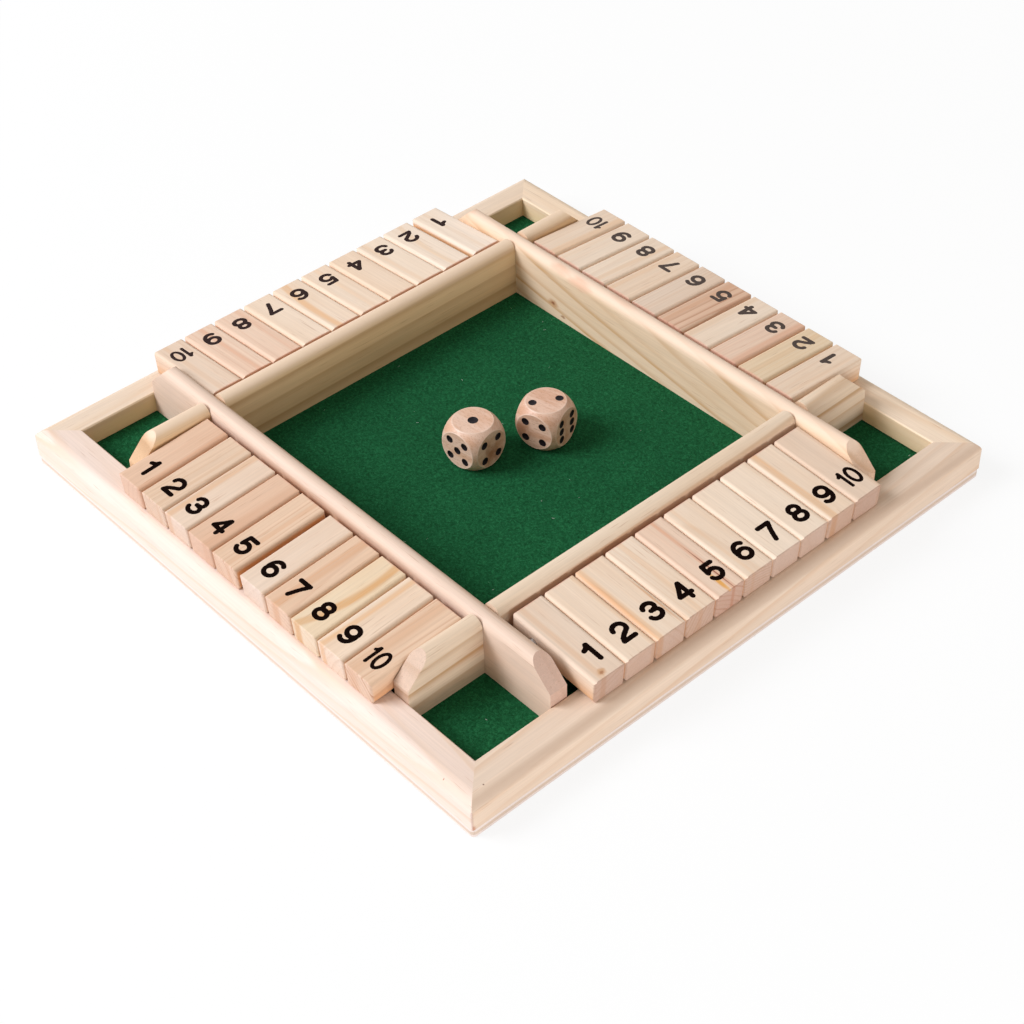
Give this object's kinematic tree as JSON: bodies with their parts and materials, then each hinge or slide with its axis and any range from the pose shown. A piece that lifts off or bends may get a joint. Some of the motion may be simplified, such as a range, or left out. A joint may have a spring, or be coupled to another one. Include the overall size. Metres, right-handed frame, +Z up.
{
  "type": "shut the box game",
  "caption": "Low square wooden game board with a row of hinged number tiles along each side, dividing walls, steel rods, a felt throwing tray, corner pockets and rounded dice.",
  "frame": {"origin": "centre of the underside of the base board", "axes": "+Z up out of the tray, -Y towards the front player's row, +X towards the row on that player's right"},
  "size_m": [0.224, 0.224, 0.0283],
  "materials": {
    "frame_pine": "sanded bare pine",
    "wall_pine": "sanded bare pine",
    "tile_pine": "sanded bare pine",
    "base_ply": "sanded bare board",
    "green_felt": "short pressed felt",
    "bright_steel": "drawn bright",
    "die_wood": "tumbled hardwood"
  },
  "bodies": {
    "board": {"base_board": "base_ply", "floor_panel": "base_ply", "felt": "green_felt", "rail_front": "frame_pine", "rail_right": "frame_pine", "rail_back": "frame_pine", "rail_left": "frame_pine", "wall_front": "wall_pine", "wall_right": "wall_pine", "wall_back": "wall_pine", "wall_left": "wall_pine", "rod_front": "bright_steel", "rod_right": "bright_steel", "rod_back": "bright_steel", "rod_left": "bright_steel"},
    "tile_front_1": {"tile_front_1": "tile_pine"},
    "tile_front_2": {"tile_front_2": "tile_pine"},
    "tile_front_3": {"tile_front_3": "tile_pine"},
    "tile_front_4": {"tile_front_4": "tile_pine"},
    "tile_front_5": {"tile_front_5": "tile_pine"},
    "tile_front_6": {"tile_front_6": "tile_pine"},
    "tile_front_7": {"tile_front_7": "tile_pine"},
    "tile_front_8": {"tile_front_8": "tile_pine"},
    "tile_front_9": {"tile_front_9": "tile_pine"},
    "tile_front_10": {"tile_front_10": "tile_pine"},
    "tile_right_1": {"tile_right_1": "tile_pine"},
    "tile_right_2": {"tile_right_2": "tile_pine"},
    "tile_right_3": {"tile_right_3": "tile_pine"},
    "tile_right_4": {"tile_right_4": "tile_pine"},
    "tile_right_5": {"tile_right_5": "tile_pine"},
    "tile_right_6": {"tile_right_6": "tile_pine"},
    "tile_right_7": {"tile_right_7": "tile_pine"},
    "tile_right_8": {"tile_right_8": "tile_pine"},
    "tile_right_9": {"tile_right_9": "tile_pine"},
    "tile_right_10": {"tile_right_10": "tile_pine"},
    "tile_back_1": {"tile_back_1": "tile_pine"},
    "tile_back_2": {"tile_back_2": "tile_pine"},
    "tile_back_3": {"tile_back_3": "tile_pine"},
    "tile_back_4": {"tile_back_4": "tile_pine"},
    "tile_back_5": {"tile_back_5": "tile_pine"},
    "tile_back_6": {"tile_back_6": "tile_pine"},
    "tile_back_7": {"tile_back_7": "tile_pine"},
    "tile_back_8": {"tile_back_8": "tile_pine"},
    "tile_back_9": {"tile_back_9": "tile_pine"},
    "tile_back_10": {"tile_back_10": "tile_pine"},
    "tile_left_1": {"tile_left_1": "tile_pine"},
    "tile_left_2": {"tile_left_2": "tile_pine"},
    "tile_left_3": {"tile_left_3": "tile_pine"},
    "tile_left_4": {"tile_left_4": "tile_pine"},
    "tile_left_5": {"tile_left_5": "tile_pine"},
    "tile_left_6": {"tile_left_6": "tile_pine"},
    "tile_left_7": {"tile_left_7": "tile_pine"},
    "tile_left_8": {"tile_left_8": "tile_pine"},
    "tile_left_9": {"tile_left_9": "tile_pine"},
    "tile_left_10": {"tile_left_10": "tile_pine"},
    "die_a": {"die_a": "die_wood"},
    "die_b": {"die_b": "die_wood"}
  },
  "joints": [
    {"name": "die_a_lift", "type": "slide", "parent": "board", "child": "die_a", "axis": [0, 0, 1], "range_m": [0, 0.05]},
    {"name": "die_b_lift", "type": "slide", "parent": "board", "child": "die_b", "axis": [0, 0, 1], "range_m": [0, 0.05]},
    {"name": "front_1_flip", "type": "hinge", "parent": "board", "child": "tile_front_1", "pos_m": [-0.05805, -0.082, 0.0206], "axis": [-1, 0, 0], "range_deg": [0, 135]},
    {"name": "right_1_flip", "type": "hinge", "parent": "board", "child": "tile_right_1", "pos_m": [0.082, -0.05491, 0.0206], "axis": [0, -1, 0], "range_deg": [0, 135]},
    {"name": "back_1_flip", "type": "hinge", "parent": "board", "child": "tile_back_1", "pos_m": [0.05615, 0.082, 0.0206], "axis": [1, 0, 0], "range_deg": [0, 135]},
    {"name": "left_1_flip", "type": "hinge", "parent": "board", "child": "tile_left_1", "pos_m": [-0.082, 0.05823, 0.0206], "axis": [0, 1, 0], "range_deg": [0, 135]},
    {"name": "front_5_flip", "type": "hinge", "parent": "board", "child": "tile_front_5", "pos_m": [-0.00719, -0.082, 0.0206], "axis": [-1, 0, 0], "range_deg": [0, 135]},
    {"name": "right_5_flip", "type": "hinge", "parent": "board", "child": "tile_right_5", "pos_m": [0.082, -0.00468, 0.0206], "axis": [0, -1, 0], "range_deg": [0, 135]},
    {"name": "back_5_flip", "type": "hinge", "parent": "board", "child": "tile_back_5", "pos_m": [0.00543, 0.082, 0.0206], "axis": [1, 0, 0], "range_deg": [0, 135]},
    {"name": "left_5_flip", "type": "hinge", "parent": "board", "child": "tile_left_5", "pos_m": [-0.082, 0.00588, 0.0206], "axis": [0, 1, 0], "range_deg": [0, 135]},
    {"name": "front_10_flip", "type": "hinge", "parent": "board", "child": "tile_front_10", "pos_m": [0.05794, -0.082, 0.0206], "axis": [-1, 0, 0], "range_deg": [0, 125]},
    {"name": "right_10_flip", "type": "hinge", "parent": "board", "child": "tile_right_10", "pos_m": [0.082, 0.0581, 0.0206], "axis": [0, -1, 0], "range_deg": [0, 125]},
    {"name": "back_10_flip", "type": "hinge", "parent": "board", "child": "tile_back_10", "pos_m": [-0.05797, 0.082, 0.0206], "axis": [1, 0, 0], "range_deg": [0, 125]},
    {"name": "left_10_flip", "type": "hinge", "parent": "board", "child": "tile_left_10", "pos_m": [-0.082, -0.0579, 0.0206], "axis": [0, 1, 0], "range_deg": [0, 125]},
    {"name": "front_2_flip", "type": "hinge", "parent": "board", "child": "tile_front_2", "pos_m": [-0.04534, -0.082, 0.0206], "axis": [-1, 0, 0], "range_deg": [0, 135]},
    {"name": "front_3_flip", "type": "hinge", "parent": "board", "child": "tile_front_3", "pos_m": [-0.03262, -0.082, 0.0206], "axis": [-1, 0, 0], "range_deg": [0, 135]},
    {"name": "front_4_flip", "type": "hinge", "parent": "board", "child": "tile_front_4", "pos_m": [-0.0199, -0.082, 0.0206], "axis": [-1, 0, 0], "range_deg": [0, 135]},
    {"name": "front_6_flip", "type": "hinge", "parent": "board", "child": "tile_front_6", "pos_m": [0.00708, -0.082, 0.0206], "axis": [-1, 0, 0], "range_deg": [0, 135]},
    {"name": "front_7_flip", "type": "hinge", "parent": "board", "child": "tile_front_7", "pos_m": [0.01979, -0.082, 0.0206], "axis": [-1, 0, 0], "range_deg": [0, 135]},
    {"name": "front_8_flip", "type": "hinge", "parent": "board", "child": "tile_front_8", "pos_m": [0.03251, -0.082, 0.0206], "axis": [-1, 0, 0], "range_deg": [0, 135]},
    {"name": "front_9_flip", "type": "hinge", "parent": "board", "child": "tile_front_9", "pos_m": [0.04522, -0.082, 0.0206], "axis": [-1, 0, 0], "range_deg": [0, 135]},
    {"name": "right_2_flip", "type": "hinge", "parent": "board", "child": "tile_right_2", "pos_m": [0.082, -0.04235, 0.0206], "axis": [0, -1, 0], "range_deg": [0, 135]},
    {"name": "right_3_flip", "type": "hinge", "parent": "board", "child": "tile_right_3", "pos_m": [0.082, -0.02979, 0.0206], "axis": [0, -1, 0], "range_deg": [0, 135]},
    {"name": "right_4_flip", "type": "hinge", "parent": "board", "child": "tile_right_4", "pos_m": [0.082, -0.01724, 0.0206], "axis": [0, -1, 0], "range_deg": [0, 135]},
    {"name": "right_6_flip", "type": "hinge", "parent": "board", "child": "tile_right_6", "pos_m": [0.082, 0.00787, 0.0206], "axis": [0, -1, 0], "range_deg": [0, 135]},
    {"name": "right_7_flip", "type": "hinge", "parent": "board", "child": "tile_right_7", "pos_m": [0.082, 0.02043, 0.0206], "axis": [0, -1, 0], "range_deg": [0, 135]},
    {"name": "right_8_flip", "type": "hinge", "parent": "board", "child": "tile_right_8", "pos_m": [0.082, 0.03299, 0.0206], "axis": [0, -1, 0], "range_deg": [0, 135]},
    {"name": "right_9_flip", "type": "hinge", "parent": "board", "child": "tile_right_9", "pos_m": [0.082, 0.04554, 0.0206], "axis": [0, -1, 0], "range_deg": [0, 135]},
    {"name": "back_2_flip", "type": "hinge", "parent": "board", "child": "tile_back_2", "pos_m": [0.04347, 0.082, 0.0206], "axis": [1, 0, 0], "range_deg": [0, 135]},
    {"name": "back_3_flip", "type": "hinge", "parent": "board", "child": "tile_back_3", "pos_m": [0.03079, 0.082, 0.0206], "axis": [1, 0, 0], "range_deg": [0, 135]},
    {"name": "back_4_flip", "type": "hinge", "parent": "board", "child": "tile_back_4", "pos_m": [0.01811, 0.082, 0.0206], "axis": [1, 0, 0], "range_deg": [0, 135]},
    {"name": "back_6_flip", "type": "hinge", "parent": "board", "child": "tile_back_6", "pos_m": [-0.00725, 0.082, 0.0206], "axis": [1, 0, 0], "range_deg": [0, 135]},
    {"name": "back_7_flip", "type": "hinge", "parent": "board", "child": "tile_back_7", "pos_m": [-0.01993, 0.082, 0.0206], "axis": [1, 0, 0], "range_deg": [0, 135]},
    {"name": "back_8_flip", "type": "hinge", "parent": "board", "child": "tile_back_8", "pos_m": [-0.03261, 0.082, 0.0206], "axis": [1, 0, 0], "range_deg": [0, 135]},
    {"name": "back_9_flip", "type": "hinge", "parent": "board", "child": "tile_back_9", "pos_m": [-0.04529, 0.082, 0.0206], "axis": [1, 0, 0], "range_deg": [0, 135]},
    {"name": "left_2_flip", "type": "hinge", "parent": "board", "child": "tile_left_2", "pos_m": [-0.082, 0.04414, 0.0206], "axis": [0, 1, 0], "range_deg": [0, 135]},
    {"name": "left_3_flip", "type": "hinge", "parent": "board", "child": "tile_left_3", "pos_m": [-0.082, 0.03139, 0.0206], "axis": [0, 1, 0], "range_deg": [0, 135]},
    {"name": "left_4_flip", "type": "hinge", "parent": "board", "child": "tile_left_4", "pos_m": [-0.082, 0.01863, 0.0206], "axis": [0, 1, 0], "range_deg": [0, 135]},
    {"name": "left_6_flip", "type": "hinge", "parent": "board", "child": "tile_left_6", "pos_m": [-0.082, -0.00688, 0.0206], "axis": [0, 1, 0], "range_deg": [0, 135]},
    {"name": "left_7_flip", "type": "hinge", "parent": "board", "child": "tile_left_7", "pos_m": [-0.082, -0.01963, 0.0206], "axis": [0, 1, 0], "range_deg": [0, 135]},
    {"name": "left_8_flip", "type": "hinge", "parent": "board", "child": "tile_left_8", "pos_m": [-0.082, -0.03239, 0.0206], "axis": [0, 1, 0], "range_deg": [0, 135]},
    {"name": "left_9_flip", "type": "hinge", "parent": "board", "child": "tile_left_9", "pos_m": [-0.082, -0.04514, 0.0206], "axis": [0, 1, 0], "range_deg": [0, 135]}
  ]
}
